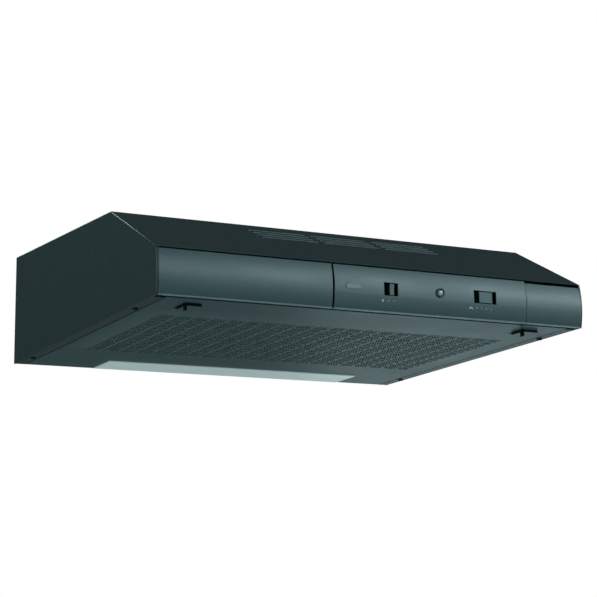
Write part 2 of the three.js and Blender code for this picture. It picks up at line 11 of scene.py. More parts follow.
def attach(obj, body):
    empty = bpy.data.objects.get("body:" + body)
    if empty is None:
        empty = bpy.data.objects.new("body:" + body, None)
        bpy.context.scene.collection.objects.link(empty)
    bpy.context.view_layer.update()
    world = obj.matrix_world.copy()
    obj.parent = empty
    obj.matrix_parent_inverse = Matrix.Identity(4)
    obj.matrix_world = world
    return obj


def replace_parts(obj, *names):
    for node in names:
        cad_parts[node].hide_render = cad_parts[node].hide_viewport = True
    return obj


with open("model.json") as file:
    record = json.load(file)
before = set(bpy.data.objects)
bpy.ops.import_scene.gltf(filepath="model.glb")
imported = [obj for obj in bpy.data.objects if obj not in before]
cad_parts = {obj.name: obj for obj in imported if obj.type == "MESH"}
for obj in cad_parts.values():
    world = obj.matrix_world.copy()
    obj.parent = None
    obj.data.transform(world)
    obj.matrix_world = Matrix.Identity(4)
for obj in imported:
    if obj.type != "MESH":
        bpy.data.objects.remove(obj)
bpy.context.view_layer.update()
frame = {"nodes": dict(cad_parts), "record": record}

MM = 0.001
HALF = 299.0
WALL_Y = 175.0
RIDGE_Y = -175.0
FLOOR_Z = -149.0
SLOPE_FOOT = (-315.6, -66.0)
FACE_TOP = (-316.0, -68.2)
FACE_FOOT = (-317.8, -123.0)
FACE_BOW = 3.6
FACE_FRONT = (FACE_TOP[0] + FACE_FOOT[0]) / 2 - FACE_BOW
TILT = math.atan2(FACE_FOOT[1] - FLOOR_Z, WALL_Y - FACE_FOOT[0])
UNDERSIDE = Matrix.Translation((0, WALL_Y * MM, FLOOR_Z * MM)) @ Matrix.Rotation(-TILT, 4, "X")


# ------------------------------------------------------------------ camera
def make_camera():
    yaw, pitch, roll = math.radians(27.93), math.radians(9.10), math.radians(-0.097)
    ahead = Vector((math.sin(yaw) * math.cos(pitch), math.cos(yaw) * math.cos(pitch), math.sin(pitch)))
    level = Vector((math.cos(yaw), -math.sin(yaw), 0))
    upright = level.cross(ahead)
    right = math.cos(roll) * level + math.sin(roll) * upright
    above = math.cos(roll) * upright - math.sin(roll) * level
    data = bpy.data.cameras.new("studio_camera")
    data.lens = 105.41
    data.sensor_width = 36.0
    data.clip_start = 0.05
    data.clip_end = 60.0
    camera = bpy.data.objects.new("studio_camera", data)
    bpy.context.scene.collection.objects.link(camera)
    camera.matrix_world = Matrix((
        (right.x, above.x, -ahead.x, -1.0729),
        (right.y, above.y, -ahead.y, -2.1232),
        (right.z, above.z, -ahead.z, -0.4418),
        (0, 0, 0, 1),
    ))
    bpy.context.scene.camera = camera


make_camera()


# ------------------------------------------------------------------ finishes
class Signal:
    """A shader socket that goes through Python's arithmetic as Math nodes."""

    def __init__(self, finish, socket):
        self.finish = finish
        self.socket = socket

    def sum_up(self, operation, first, second):
        return self.finish.node("ShaderNodeMath", {"operation": operation}, {0: first, 1: second})

    def __add__(self, other):
        return self.sum_up("ADD", self, other)

    def __sub__(self, other):
        return self.sum_up("SUBTRACT", self, other)

    def __rsub__(self, other):
        return self.sum_up("SUBTRACT", other, self)

    def __mul__(self, other):
        return self.sum_up("MULTIPLY", self, other)

    __radd__ = __add__
    __rmul__ = __mul__


class Finish:
    """A material with one Principled shader and the nodes that feed it."""

    def __init__(self, name, colour, roughness, metallic=0.0, **fixed):
        self.material = bpy.data.materials.new(name)
        self.material.use_nodes = True
        self.nodes = self.material.node_tree.nodes
        self.links = self.material.node_tree.links
        self.shader = next(n for n in self.nodes if n.type == "BSDF_PRINCIPLED")
        self.colour = (*colour, 1.0)
        self.feed("Base Color", self.colour)
        self.feed("Roughness", roughness)
        self.feed("Metallic", metallic)
        for socket, value in fixed.items():
            self.feed(socket.replace("_", " "), value)
        self.place = self.node("ShaderNodeTexCoord", output="Object")

    def node(self, kind, settings=None, inputs=None, output=0):
        made = self.nodes.new(kind)
        for setting, value in (settings or {}).items():
            if setting == "stops":
                self.set_stops(made.color_ramp, value)
            else:
                setattr(made, setting, value)
        for socket, value in (inputs or {}).items():
            self.join(made.inputs[socket], value)
        return Signal(self, made.outputs[output])

    @staticmethod
    def set_stops(ramp, stops):
        while len(ramp.elements) < len(stops):
            ramp.elements.new(1.0)
        for element, (position, colour) in zip(ramp.elements, stops):
            element.position = position
            element.color = colour

    def join(self, socket, value):
        if isinstance(value, Signal):
            self.links.new(value.socket, socket)
        else:
            socket.default_value = value

    def feed(self, name, value):
        self.join(self.shader.inputs[name], value)

    def noise(self, scale, detail=2.0, stretch=None, roughness=0.5):
        where = self.place
        if stretch:
            where = self.node("ShaderNodeMapping", inputs={"Vector": where, "Scale": stretch})
        return self.node("ShaderNodeTexNoise", inputs={
            "Vector": where, "Scale": scale, "Detail": detail, "Roughness": roughness})

    def cells(self, scale, output="Distance", **settings):
        return self.node("ShaderNodeTexVoronoi", settings, {"Vector": self.place, "Scale": scale}, output)

    def ramp(self, factor, low, high):
        white, black = (1, 1, 1, 1), (0, 0, 0, 1)
        return self.node("ShaderNodeValToRGB", {"stops": [(low, black), (high, white)]}, {0: factor})

    def mix(self, factor, first, second):
        return self.node("ShaderNodeMix", {"data_type": "RGBA"}, {0: factor, 6: first, 7: second}, 2)

    def tint(self, factor, second, first=None):
        self.colour = self.mix(factor, first or self.colour, (*second, 1.0))
        self.feed("Base Color", self.colour)

    def painted_highlights(self, strength, second):
        """Paints highlights: lightens, in patches, the corners and lips given a value when their pieces were
        built, as if they caught the light.
        """
        raised = self.node("ShaderNodeAttribute", {"attribute_name": "raised"}, output="Fac")
        patchy = 0.6 + self.noise(90.0, 3.0) * 0.8
        self.tint(raised * patchy * strength, second)

    def bump(self, height, strength, distance):
        made = self.node("ShaderNodeBump", inputs={
            "Height": height, "Strength": strength, "Distance": distance}, output="Normal")
        self.feed("Normal", made)


def shade(colour, factor):
    return tuple(channel * factor for channel in colour)


# The colour of the painted highlights on lips, corners and edges.
HIGHLIGHT_COLOUR = (0.42, 0.50, 0.50)


def painted_steel(name, colour):
    """Semi-gloss oven paint: faint orange peel, slow changes of tone, dust, a few fine rubs and painted
    highlights on lips and edges.
    """
    finish = Finish(name, colour, 0.4, Specular_IOR_Level=0.4)
    drift = finish.noise(7.0, 3.0)
    dust = finish.ramp(finish.noise(160.0, 4.0, roughness=0.7), 0.55, 0.8)
    rubs = finish.ramp(finish.noise(40.0, 2.0, stretch=(1, 14, 14)), 0.62, 0.72)
    finish.tint(drift * 0.5, shade(colour, 0.8))
    finish.tint(dust * 0.06, (0.45, 0.47, 0.46))
    finish.tint(rubs * 0.05, (0.5, 0.52, 0.52))
    # Painted highlights on the lips and edges that were given a value.
    finish.painted_highlights(0.85, HIGHLIGHT_COLOUR)
    finish.feed("Roughness", 0.33 + drift * 0.12 + dust * 0.12 - rubs * 0.06)
    finish.bump(finish.noise(520.0, 2.0), 0.12, 0.0004)
    return finish.material


def moulded_plastic(name, colour, roughness=0.42, grain=900.0, sheen=0.0):
    """Injection-moulded plastic: a fine spark-eroded grain, slight flow marks and painted highlights on
    marked lips.
    """
    finish = Finish(name, colour, roughness, Coat_Weight=sheen, Coat_Roughness=0.25)
    flow = finish.noise(14.0, 3.0, stretch=(1, 3, 3))
    specks = finish.ramp(finish.noise(300.0, 3.0), 0.6, 0.85)
    finish.tint(flow * 0.4, shade(colour, 0.82))
    finish.tint(specks * 0.05, (0.6, 0.6, 0.6))
    # Painted highlights, weaker, on the lips that were given a value.
    finish.painted_highlights(0.3, HIGHLIGHT_COLOUR)
    finish.feed("Roughness", roughness - 0.06 + flow * 0.14)
    finish.bump(finish.noise(grain, 2.0), 0.16, 0.0003)
    return finish.material


def galvanised(name):
    """Zinc-coated sheet with its spangle, dulled and lightly scratched."""
    colour = (0.40, 0.42, 0.43)
    finish = Finish(name, colour, 0.42, 0.75)
    spangle = finish.node("ShaderNodeSeparateColor", inputs={0: finish.cells(140.0, "Color")})
    scratch = finish.ramp(finish.noise(60.0, 2.0, stretch=(1, 22, 22)), 0.6, 0.68)
    finish.tint(spangle * 0.5, (0.26, 0.28, 0.29))
    finish.tint(scratch * 0.2, (0.6, 0.62, 0.62))
    finish.feed("Roughness", 0.32 + spangle * 0.2 + scratch * 0.1)
    finish.bump(spangle + scratch * 0.4, 0.12, 0.0003)
    return finish.material


def brushed_metal(name, colour, roughness, along=(1, 40, 40)):
    """Drawn or brushed metal with fine lines along one way."""
    finish = Finish(name, colour, roughness, 1.0)
    lines = finish.noise(70.0, 3.0, stretch=along)
    cloud = finish.noise(20.0, 3.0)
    finish.tint(lines * 0.45, shade(colour, 0.7))
    finish.tint(cloud * 0.15, shade(colour, 0.55))
    finish.feed("Roughness", roughness - 0.06 + lines * 0.14 + cloud * 0.05)
    finish.bump(lines, 0.1, 0.0002)
    return finish.material


def frosted_lens(name):
    """Pale diffuser plastic, prismatic inside, with a soft yellowing towards old age and a faint painted
    glow.
    """
    colour = (0.66, 0.71, 0.71)
    # The emission is a faint painted glow of cool light, with no lamp lit behind the lens.
    finish = Finish(name, colour, 0.32, Transmission_Weight=0.12, IOR=1.49, Subsurface_Weight=0.15,
                    Subsurface_Radius=(0.004, 0.004, 0.004), Emission_Color=(0.80, 0.94, 0.92, 1),
                    Emission_Strength=0.16)
    cloud = finish.noise(18.0, 3.0)
    dust = finish.ramp(finish.noise(140.0, 4.0), 0.55, 0.8)
    wave = finish.node("ShaderNodeTexWave", {"bands_direction": "X"}, {"Vector": finish.place, "Scale": 55.0})
    finish.tint(cloud * 0.4, (0.56, 0.60, 0.58))
    finish.tint(dust * 0.1, (0.4, 0.4, 0.37))
    finish.feed("Roughness", 0.26 + cloud * 0.14 + dust * 0.15)
    finish.bump(wave, 0.15, 0.0004)
    return finish.material


def lamp_glass(name):
    """Opal glass of a tubular lamp, with a cloudy tone."""
    colour = (0.86, 0.86, 0.83)
    finish = Finish(name, colour, 0.18, Coat_Weight=0.6, Coat_Roughness=0.06)
    cloud = finish.noise(60.0, 3.0)
    finish.tint(cloud * 0.25, (0.74, 0.74, 0.69))
    finish.feed("Roughness", 0.12 + cloud * 0.12)
    finish.bump(finish.noise(240.0, 2.0), 0.05, 0.0002)
    return finish.material


def fleece(name):
    """A bonded fibre mat: crossing fibres with darker pores."""
    colour = (0.30, 0.33, 0.33)
    finish = Finish(name, colour, 0.95)
    fibres = finish.noise(420.0, 5.0, stretch=(1, 4, 1), roughness=0.75)
    crossed = finish.noise(460.0, 5.0, stretch=(4, 1, 1), roughness=0.75)
    pores = finish.ramp(finish.cells(380.0), 0.1, 0.5)
    finish.tint(fibres * 0.6, (0.17, 0.19, 0.19))
    finish.tint(crossed * 0.4, (0.38, 0.40, 0.39))
    finish.tint((1 - pores) * 0.4, (0.08, 0.09, 0.09))
    finish.bump(fibres + crossed + pores * 0.5, 0.6, 0.0012)
    return finish.material


def cable_sheath(name):
    colour = (0.03, 0.03, 0.032)
    finish = Finish(name, colour, 0.5)
    cloud = finish.noise(50.0, 3.0)
    finish.tint(cloud * 0.3, (0.055, 0.055, 0.058))
    finish.feed("Roughness", 0.42 + cloud * 0.16)
    finish.bump(finish.noise(700.0, 2.0), 0.12, 0.0003)
    return finish.material


def printed_ink(name):
    colour = (0.52, 0.55, 0.55)
    finish = Finish(name, colour, 0.5)
    cover = finish.noise(900.0, 3.0)
    finish.tint(cover * 0.35, (0.3, 0.33, 0.33))
    finish.feed("Roughness", 0.4 + cover * 0.2)
    finish.bump(cover, 0.1, 0.0001)
    return finish.material


PAINT_COLOUR = (0.026, 0.041, 0.043)
FASCIA_COLOUR = (0.060, 0.100, 0.106)
BLACK = (0.004, 0.0045, 0.005)
finishes = {
    "black_paint": painted_steel("oven_paint", PAINT_COLOUR),
    # The grille's paint is the oven paint painted about twice as light, for the light its underside catches.
    "grille_paint_lit": painted_steel("grille_paint_lit", (0.050, 0.082, 0.086)),
    "galvanised_steel": galvanised("galvanised_sheet"),
    "black_plastic": moulded_plastic("black_plastic", BLACK, 0.45),
    "fascia_plastic": moulded_plastic("fascia_plastic", FASCIA_COLOUR, 0.40, 1200.0),
    "grey_plastic": moulded_plastic("grey_plastic", (0.17, 0.18, 0.19), 0.5, 700.0),
    "white_plastic": moulded_plastic("white_plastic", (0.72, 0.74, 0.72), 0.4, 800.0),
    "clear_plastic": frosted_lens("lens_plastic"),
    "aluminium": brushed_metal("aluminium", (0.62, 0.64, 0.65), 0.38),
    "bright_steel": brushed_metal("bright_steel", (0.46, 0.48, 0.49), 0.28),
    "lamp_glass": lamp_glass("opal_glass"),
    "cable_sheath": cable_sheath("cable_sheath"),
    "fleece": fleece("fibre_mat"),
    "ink": printed_ink("printed_ink"),
    "badge_metal": brushed_metal("badge_metal", (0.13, 0.16, 0.16), 0.45),
    "blackened_steel": brushed_metal("blackened_steel", (0.03, 0.035, 0.035), 0.5),
    "pilot_plastic": moulded_plastic("pilot_plastic", (0.42, 0.50, 0.48), 0.16, 500.0, 0.6),
}


def dress(piece, slot, finish=None):
    piece.data.materials.clear()
    piece.data.materials.append(finishes[finish or slot])


for part in frame["record"]["subparts"]:
    dress(frame["nodes"][part["node"]], part["material_slot"])


# ------------------------------------------------------------------ modelling by hand
def clear_selection():
    if bpy.context.object and bpy.context.object.mode == "EDIT":
        bpy.ops.object.mode_set(mode="OBJECT")
    bpy.ops.object.select_all(action="DESELECT")


def settle(name, sides=(1, 1, 1)):
    """Names the new object, stretches it to its sides and puts its place into its mesh."""
    piece = bpy.context.object
    piece.name = name
    piece.data.name = name
    piece.scale = sides
    bpy.ops.object.transform_apply(location=True, rotation=True, scale=True)
    return piece


def block(name, low, high):
    """A block between two corners, in millimetres, to be bevelled or cut by what follows."""
    clear_selection()
    middle = [(a + b) / 2 * MM for a, b in zip(low, high)]
    sides = [abs(b - a) * MM for a, b in zip(low, high)]
    bpy.ops.mesh.primitive_cube_add(size=1, location=middle)
    return settle(name, sides)


def drum(name, radius, low, high, centre, along="z", sides=40):
    """A round bar between two places along an axis. Centre is the other two coordinates, in X, Y, Z order."""
    clear_selection()
    turns = {"x": (0, math.pi / 2, 0), "y": (math.pi / 2, 0, 0), "z": (0, 0, 0)}
    middle = list(centre)
    middle.insert("xyz".index(along), (low + high) / 2)
    bpy.ops.mesh.primitive_cylinder_add(
        vertices=sides, radius=radius * MM, depth=abs(high - low) * MM,
        location=[value * MM for value in middle], rotation=turns[along])
    return settle(name)


def select_where(piece, kind, test):
    """Selects what has its middle, in millimetres, where a test says. Leaves edit mode on."""
    clear_selection()
    bpy.context.view_layer.objects.active = piece
    piece.select_set(True)
    bpy.ops.object.mode_set(mode="EDIT")
    bpy.ops.mesh.select_mode(type=kind)
    bpy.ops.mesh.select_all(action="DESELECT")
    bpy.ops.object.mode_set(mode="OBJECT")
    mesh = piece.data
    found = 0
    if kind == "VERT":
        for vertex in mesh.vertices:
            vertex.select = bool(test(vertex.co / MM))
            found += vertex.select
    elif kind == "EDGE":
        for edge in mesh.edges:
            ends = [mesh.vertices[i].co / MM for i in edge.vertices]
            edge.select = all(test(end) for end in ends)
            found += edge.select
    else:
        for face in mesh.polygons:
            face.select = bool(test(face.center / MM, face.normal))
            found += face.select
    bpy.ops.object.mode_set(mode="EDIT")
    return found


def cut_line(piece, point, normal, test=None, **clear):
    """Cuts the selected faces with a plane, in millimetres. clear_outer drops what the normal points to."""
    select_where(piece, "FACE", test or (lambda middle, way: True))
    bpy.ops.mesh.bisect(plane_co=[v * MM for v in point], plane_no=Vector(normal).normalized(),
                        threshold=1e-7, **clear)
    bpy.ops.object.mode_set(mode="OBJECT")


def drop_faces(piece, test):
    select_where(piece, "FACE", test)
    bpy.ops.mesh.delete(type="FACE")
    bpy.ops.object.mode_set(mode="OBJECT")


def edge_out(piece, test, move, open_only=False):
    """Draws new faces from the edges that pass a test. open_only asks the middles of open edges alone."""
    if open_only:
        uses = Counter(key for face in piece.data.polygons for key in face.edge_keys)
        select_where(piece, "EDGE", lambda co: False)
        bpy.ops.object.mode_set(mode="OBJECT")
        for edge in piece.data.edges:
            first, second = (piece.data.vertices[index].co for index in edge.vertices)
            level = abs(first.y - second.y) < abs(first.x - second.x)
            edge.select = uses[edge.key] == 1 and level and test((first + second) / 2 / MM)
        bpy.ops.object.mode_set(mode="EDIT")
    else:
        select_where(piece, "EDGE", test)
    bpy.ops.mesh.extrude_edges_move(TRANSFORM_OT_translate={"value": [v * MM for v in move]})
    bpy.ops.object.mode_set(mode="OBJECT")


def mark_lit_edges(piece, height):
    """Gives each vertex a value from 0 to 1 that the finishes paint as a highlight, a lighter base colour."""
    layer = piece.data.attributes.new("raised", "FLOAT", "POINT")
    for vertex, value in zip(piece.data.vertices, layer.data):
        value.value = min(1.0, max(0.0, height(vertex.co / MM)))


def apply_modifier(piece, kind, **settings):
    clear_selection()
    bpy.context.view_layer.objects.active = piece
    piece.select_set(True)
    modifier = piece.modifiers.new(kind.lower(), kind)
    for setting, value in settings.items():
        setattr(modifier, setting, value)
    bpy.ops.object.modifier_apply(modifier=modifier.name)


def soften(piece, width, segments=2, angle=30):
    apply_modifier(piece, "BEVEL", width=width * MM, segments=segments, limit_method="ANGLE",
                   angle_limit=math.radians(angle), harden_normals=False)
    smooth(piece)
    apply_modifier(piece, "WEIGHTED_NORMAL", keep_sharp=True)


def smooth(piece, angle=35):
    clear_selection()
    bpy.context.view_layer.objects.active = piece
    piece.select_set(True)
    bpy.ops.object.shade_smooth_by_angle(angle=math.radians(angle))


def face_out(piece):
    """Merges doubles and turns every face outwards."""
    select_where(piece, "FACE", lambda middle, way: True)
    bpy.ops.mesh.remove_doubles(threshold=1e-6)
    bpy.ops.mesh.normals_make_consistent(inside=False)
    bpy.ops.object.mode_set(mode="OBJECT")


def join(name, *pieces):
    clear_selection()
    for piece in pieces:
        piece.select_set(True)
    bpy.context.view_layer.objects.active = pieces[0]
    bpy.ops.object.join()
    pieces[0].name = name
    pieces[0].data.name = name
    return pieces[0]


def place(piece, matrix):
    """Moves a piece by a matrix and puts the move into its mesh."""
    clear_selection()
    piece.matrix_world = matrix @ piece.matrix_world
    bpy.context.view_layer.objects.active = piece
    piece.select_set(True)
    bpy.ops.object.transform_apply(location=True, rotation=True, scale=True)
    return piece


def carve(piece, *tools):
    for tool in tools:
        apply_modifier(piece, "BOOLEAN", operation="DIFFERENCE", object=tool, solver="EXACT")
        bpy.data.objects.remove(tool)


def strip(name, run, low, high):
    """A sheet swept along X: a plane on the run's first leg, extruded along the rest. [y, z] in mm."""
    (y0, z0), (y1, z1) = run[:2]
    clear_selection()
    bpy.ops.mesh.primitive_plane_add(
        size=1, location=((low + high) / 2 * MM, (y0 + y1) / 2 * MM, (z0 + z1) / 2 * MM),
        rotation=(math.atan2(z1 - z0, y1 - y0), 0, 0))
    piece = settle(name, (abs(high - low) * MM, math.hypot(y1 - y0, z1 - z0) * MM, 1))
    for (ya, za), (yb, zb) in zip(run[1:], run[2:]):
        at_end = lambda co, y=ya, z=za: abs(co.y - y) < 0.005 and abs(co.z - z) < 0.005
        select_where(piece, "EDGE", at_end)
        bpy.ops.mesh.extrude_edges_move(TRANSFORM_OT_translate={"value": (0, (yb - ya) * MM, (zb - za) * MM)})
        bpy.ops.object.mode_set(mode="OBJECT")
    return piece


def finish_piece(piece, body, slot, *nodes, finish=None):
    dress(piece, slot, finish)
    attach(piece, body)
    if nodes:
        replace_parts(piece, *nodes)
    return piece


# ------------------------------------------------------------------ fascia
def bow(start, end, rise, heights=()):
    """Points on an arc from one [y, z] to another, at even steps and at the heights asked."""
    chord = math.hypot(end[0] - start[0], end[1] - start[1])
    radius = (chord * chord / 4 + rise * rise) / (2 * rise)
    half = math.asin(chord / 2 / radius)
    along = ((end[0] - start[0]) / chord, (end[1] - start[1]) / chord)
    out = (along[1], -along[0])

    def at(angle):
        s = radius * math.sin(angle) + chord / 2
        t = radius * math.cos(angle) - radius + rise
        return (start[0] + along[0] * s + out[0] * t, start[1] + along[1] * s + out[1] * t)

    points = [at(-half + 2 * half * i / 12) for i in range(13)]
    for height in heights:
        low, high = -half, half
        for _ in range(50):
            middle = (low + high) / 2
            if at(middle)[1] > height:
                low = middle
            else:
                high = middle
        points = [p for p in points if abs(p[1] - height) > 1.2 or p in (points[0], points[-1])]
        points.append(at(low))
    return sorted(points, key=lambda p: -p[1])


def face_y(z):
    """How far forward the fascia's face stands at a height."""
    return bow(FACE_TOP, FACE_FOOT, FACE_BOW, [z])[0][0] if z >= FACE_TOP[1] else min(
        bow(FACE_TOP, FACE_FOOT, FACE_BOW, [z]), key=lambda p: abs(p[1] - z))[0]


WINDOW_Z = (-102.2, -86.2)
WINDOWS = [(1.0, 20.5), (131.4, 164.6)]
JOINT_X = 211.3


def fascia(name, low, high, drop=0.0, windows=()):
    top = (FACE_TOP[0], FACE_TOP[1] - drop)
    heights = WINDOW_Z if windows else ()
    face = bow(top, FACE_FOOT, FACE_BOW, heights)
    y, z = FACE_FOOT
    lip = [(y - 1.0, z + 0.9), (y - 1.2, z - 0.1), (-311.0, z + 0.3)]
    face[-1] = (y - 0.1, z + 1.6)
    run = [(-306.0, top[1])] + face + lip
    piece = strip(name, run, low, high)
    for left, right in windows:
        for x in (left, right):
            cut_line(piece, (x, 0, 0), (1, 0, 0), lambda middle, way: middle.y < -314)
        drop_faces(piece, lambda middle, way: left < middle.x < right and
                   WINDOW_Z[0] < middle.z < WINDOW_Z[1] and middle.y < -314)
    # The fascia's foot lip gets a painted highlight, as if it caught the light from above the front.
    mark_lit_edges(piece, lambda co: 1.0 if co.y < FACE_FOOT[0] - 0.8 and co.z < FACE_FOOT[1] + 1.2 else 0.0)
    face_out(piece)
    clear_selection()
    outward = sum(face.normal.y * face.area for face in piece.data.polygons)
    apply_modifier(piece, "SOLIDIFY", thickness=1.6 * MM, offset=1.0 if outward > 0 else -1.0)
    soften(piece, 0.4, 3)
    return finish_piece(piece, "casing", "fascia_plastic")


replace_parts(fascia("fascia_left_shell", -296.5, -70.3), "fascia_left")
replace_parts(fascia("control_panel_shell", -67.9, JOINT_X - 0.3, windows=WINDOWS), "control_panel")
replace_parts(fascia("fascia_right_shell", JOINT_X, 296.5, drop=2.2), "fascia_right")


# ------------------------------------------------------------------ sloping front
SLOPE_ANGLE = math.atan2(-SLOPE_FOOT[1], RIDGE_Y - SLOPE_FOOT[0])
VENT_ROWS = [31.5 + 10.5 * row for row in range(4)]
VENT_GROUPS = [-85.5, 3.0, 91.5]
VENT_LENGTH = 78.0
VENT_WIDTH = 3.2
VENT_LEAN = 0.15
VENT_LIP = 1.2


def down_slope(distance):
    return (RIDGE_Y - distance * math.cos(SLOPE_ANGLE), -distance * math.sin(SLOPE_ANGLE))


def front_slope():
    legs = [0.8]
    for row in VENT_ROWS:
        legs += [row - VENT_WIDTH / 2, row + VENT_WIDTH / 2]
    legs.append((RIDGE_Y - SLOPE_FOOT[0]) / math.cos(SLOPE_ANGLE) - 1.2)
    run = [down_slope(distance) for distance in legs] + [SLOPE_FOOT, (-305.0, -66.8)]
    piece = strip("front_slope_sheet", run, -297.7, 297.7)

    def measure(middle):
        distance = (RIDGE_Y - middle.y) / math.cos(SLOPE_ANGLE)
        return distance, middle.x - VENT_LEAN * (distance - VENT_ROWS[0])

    def in_slot_row(middle, way):
        return any(abs(measure(middle)[0] - row) < 0.3 * VENT_WIDTH for row in VENT_ROWS)

    def in_slot(middle, way):
        return in_slot_row(middle, way) and any(
            abs(measure(middle)[1] - centre) < VENT_LENGTH / 2 for centre in VENT_GROUPS)

    lean = (1.0, VENT_LEAN * math.cos(SLOPE_ANGLE), VENT_LEAN * math.sin(SLOPE_ANGLE))
    y, z = down_slope(VENT_ROWS[0])
    for centre in VENT_GROUPS:
        for end in (-1, 1):
            cut_line(piece, (centre + end * VENT_LENGTH / 2, y, z), lean, in_slot_row)
    drop_faces(piece, in_slot)

    def upper_rim(middle):
        return any(abs(measure(middle)[0] - row + VENT_WIDTH / 2) < 0.05 for row in VENT_ROWS)

    outward = (0, -math.sin(SLOPE_ANGLE), math.cos(SLOPE_ANGLE))
    edge_out(piece, upper_rim, [VENT_LIP * v for v in outward], open_only=True)
    # The vent lips, stronger the higher they stand, and a band along the slope's foot get painted highlights.
    foot = down_slope(0)[0] - SLOPE_FOOT[0]
    mark_lit_edges(piece, lambda co: (outward[1] * (co.y - RIDGE_Y) + outward[2] * co.z) / VENT_LIP
                + (RIDGE_Y - co.y > foot - 0.2) * 0.5)
    face_out(piece)
    upward = sum(face.normal.z * face.area for face in piece.data.polygons)
    apply_modifier(piece, "SOLIDIFY", thickness=1.0 * MM, offset=-1.0 if upward > 0 else 1.0)
    soften(piece, 0.2, 2)
    return finish_piece(piece, "casing", "black_paint", "front_slope")


front_slope()


# ------------------------------------------------------------------ grille panel, in the underside's frame
PANEL_HALF = 281.5
PANEL_REAR = -4.5
PANEL_FRONT = -484.0
FIELD_REAR = -140.0
FIELD_FRONT = -387.5
SLOT_PITCH = (4.0, 16.5)
SLOT_COUNT = (124, 15)
SLOT_BAND = 6
SLOT_LIP = 1.4
# A faint painted glint over the bars of the slotted field.
BAR_GLINT = 0.1
FIELD_MIDDLE = 1.0
LENS_WINDOW = ((-184.0, -66.0), (206.0, -7.0))
LATCH_X = 239.0
LATCH_WINDOW = (12.5, -463.0, -428.5)
LATCH_SLOT = 1.9
LATCH_SHIFT = {-1: 2.8, 1: 1.2}


def grille_panel():
    width = SLOT_PITCH[0] * SLOT_COUNT[0]
    left, right = FIELD_MIDDLE - width / 2, FIELD_MIDDLE + width / 2
    clear_selection()
    bpy.ops.mesh.primitive_grid_add(
        x_subdivisions=SLOT_COUNT[0], y_subdivisions=SLOT_COUNT[1], size=1,
        location=(FIELD_MIDDLE * MM, (FIELD_REAR + FIELD_FRONT) / 2 * MM, 0))
    piece = settle("grille_sheet", (width * MM, (FIELD_REAR - FIELD_FRONT) * MM, 1))

    rear_steps = [FIELD_REAR, LENS_WINDOW[0][1], LENS_WINDOW[1][1], PANEL_REAR]
    front_steps = [FIELD_FRONT, LATCH_WINDOW[2], LATCH_WINDOW[1], PANEL_FRONT]
    for steps in (rear_steps, front_steps):
        for here, there in zip(steps, steps[1:]):
            edge_out(piece, lambda co, y=here: abs(co.y - y) < 0.01, (0, there - here, 0))
    for here, there in ((left, -PANEL_HALF), (right, PANEL_HALF)):
        edge_out(piece, lambda co, x=here: abs(co.x - x) < 0.01, (there - here, 0, 0))

    for x in (LENS_WINDOW[0][0], LENS_WINDOW[1][0]):
        cut_line(piece, (x, 0, 0), (1, 0, 0), lambda middle, way: middle.y > LENS_WINDOW[0][1])
    drop_faces(piece, lambda middle, way: LENS_WINDOW[0][0] < middle.x < LENS_WINDOW[1][0]
               and LENS_WINDOW[0][1] < middle.y < LENS_WINDOW[1][1])
    for side in (-1, 1):
        rib = side * LATCH_X - LATCH_WINDOW[0] + 1.7 + LATCH_SHIFT[side]
        for x in (rib - LATCH_SLOT, rib + LATCH_SLOT):
            cut_line(piece, (x, 0, 0), (1, 0, 0),
                     lambda middle, way: middle.y < LATCH_WINDOW[2] and middle.x * side > 0)
        drop_faces(piece, lambda middle, way: abs(middle.x - rib) < LATCH_SLOT
                   and LATCH_WINDOW[1] < middle.y < LATCH_WINDOW[2])

    def is_slot(middle, way):
        inside = left < middle.x < right and FIELD_FRONT < middle.y < FIELD_REAR
        return inside and int((middle.x - left) / SLOT_PITCH[0]) % SLOT_BAND != SLOT_BAND - 1

    select_where(piece, "FACE", is_slot)
    bpy.ops.mesh.inset(thickness=1.2 * MM, use_individual=True)
    bpy.ops.mesh.delete(type="FACE")
    bpy.ops.object.mode_set(mode="OBJECT")

    def rear_rim(middle):
        inside = left < middle.x < right and FIELD_FRONT < middle.y < FIELD_REAR
        return inside and (middle.y - FIELD_FRONT) % SLOT_PITCH[1] > SLOT_PITCH[1] * 0.75

    edge_out(piece, rear_rim, (0, 0, -SLOT_LIP), open_only=True)

    # Painted glints: the slot lips, stronger the further they hang, and a faint one over the whole field.
    def bar_glints(co):
        in_field = left < co.x < right and FIELD_FRONT < co.y < FIELD_REAR
        return max(-co.z / SLOT_LIP, BAR_GLINT if in_field else 0.0)

    mark_lit_edges(piece, bar_glints)

    outer = lambda co: (abs(abs(co.x) - PANEL_HALF) < 0.01 or abs(co.y - PANEL_REAR) < 0.01
                        or abs(co.y - PANEL_FRONT) < 0.01)
    select_where(piece, "EDGE", outer)
    bpy.ops.mesh.extrude_edges_move(TRANSFORM_OT_translate={"value": (0, 0, 11.6 * MM)})
    bpy.ops.object.mode_set(mode="OBJECT")
    face_out(piece)
    floor = sum(face.normal.z * face.area for face in piece.data.polygons if abs(face.normal.z) > 0.9)
    apply_modifier(piece, "SOLIDIFY", thickness=0.9 * MM, offset=-1.0 if floor < 0 else 1.0)
    smooth(piece, 30)
    place(piece, UNDERSIDE)
    # Dressed in the lighter copy of the oven paint, lightened as painted light.
    return finish_piece(piece, "grille", "black_paint", "grille_panel", finish="grille_paint_lit")


grille_panel()


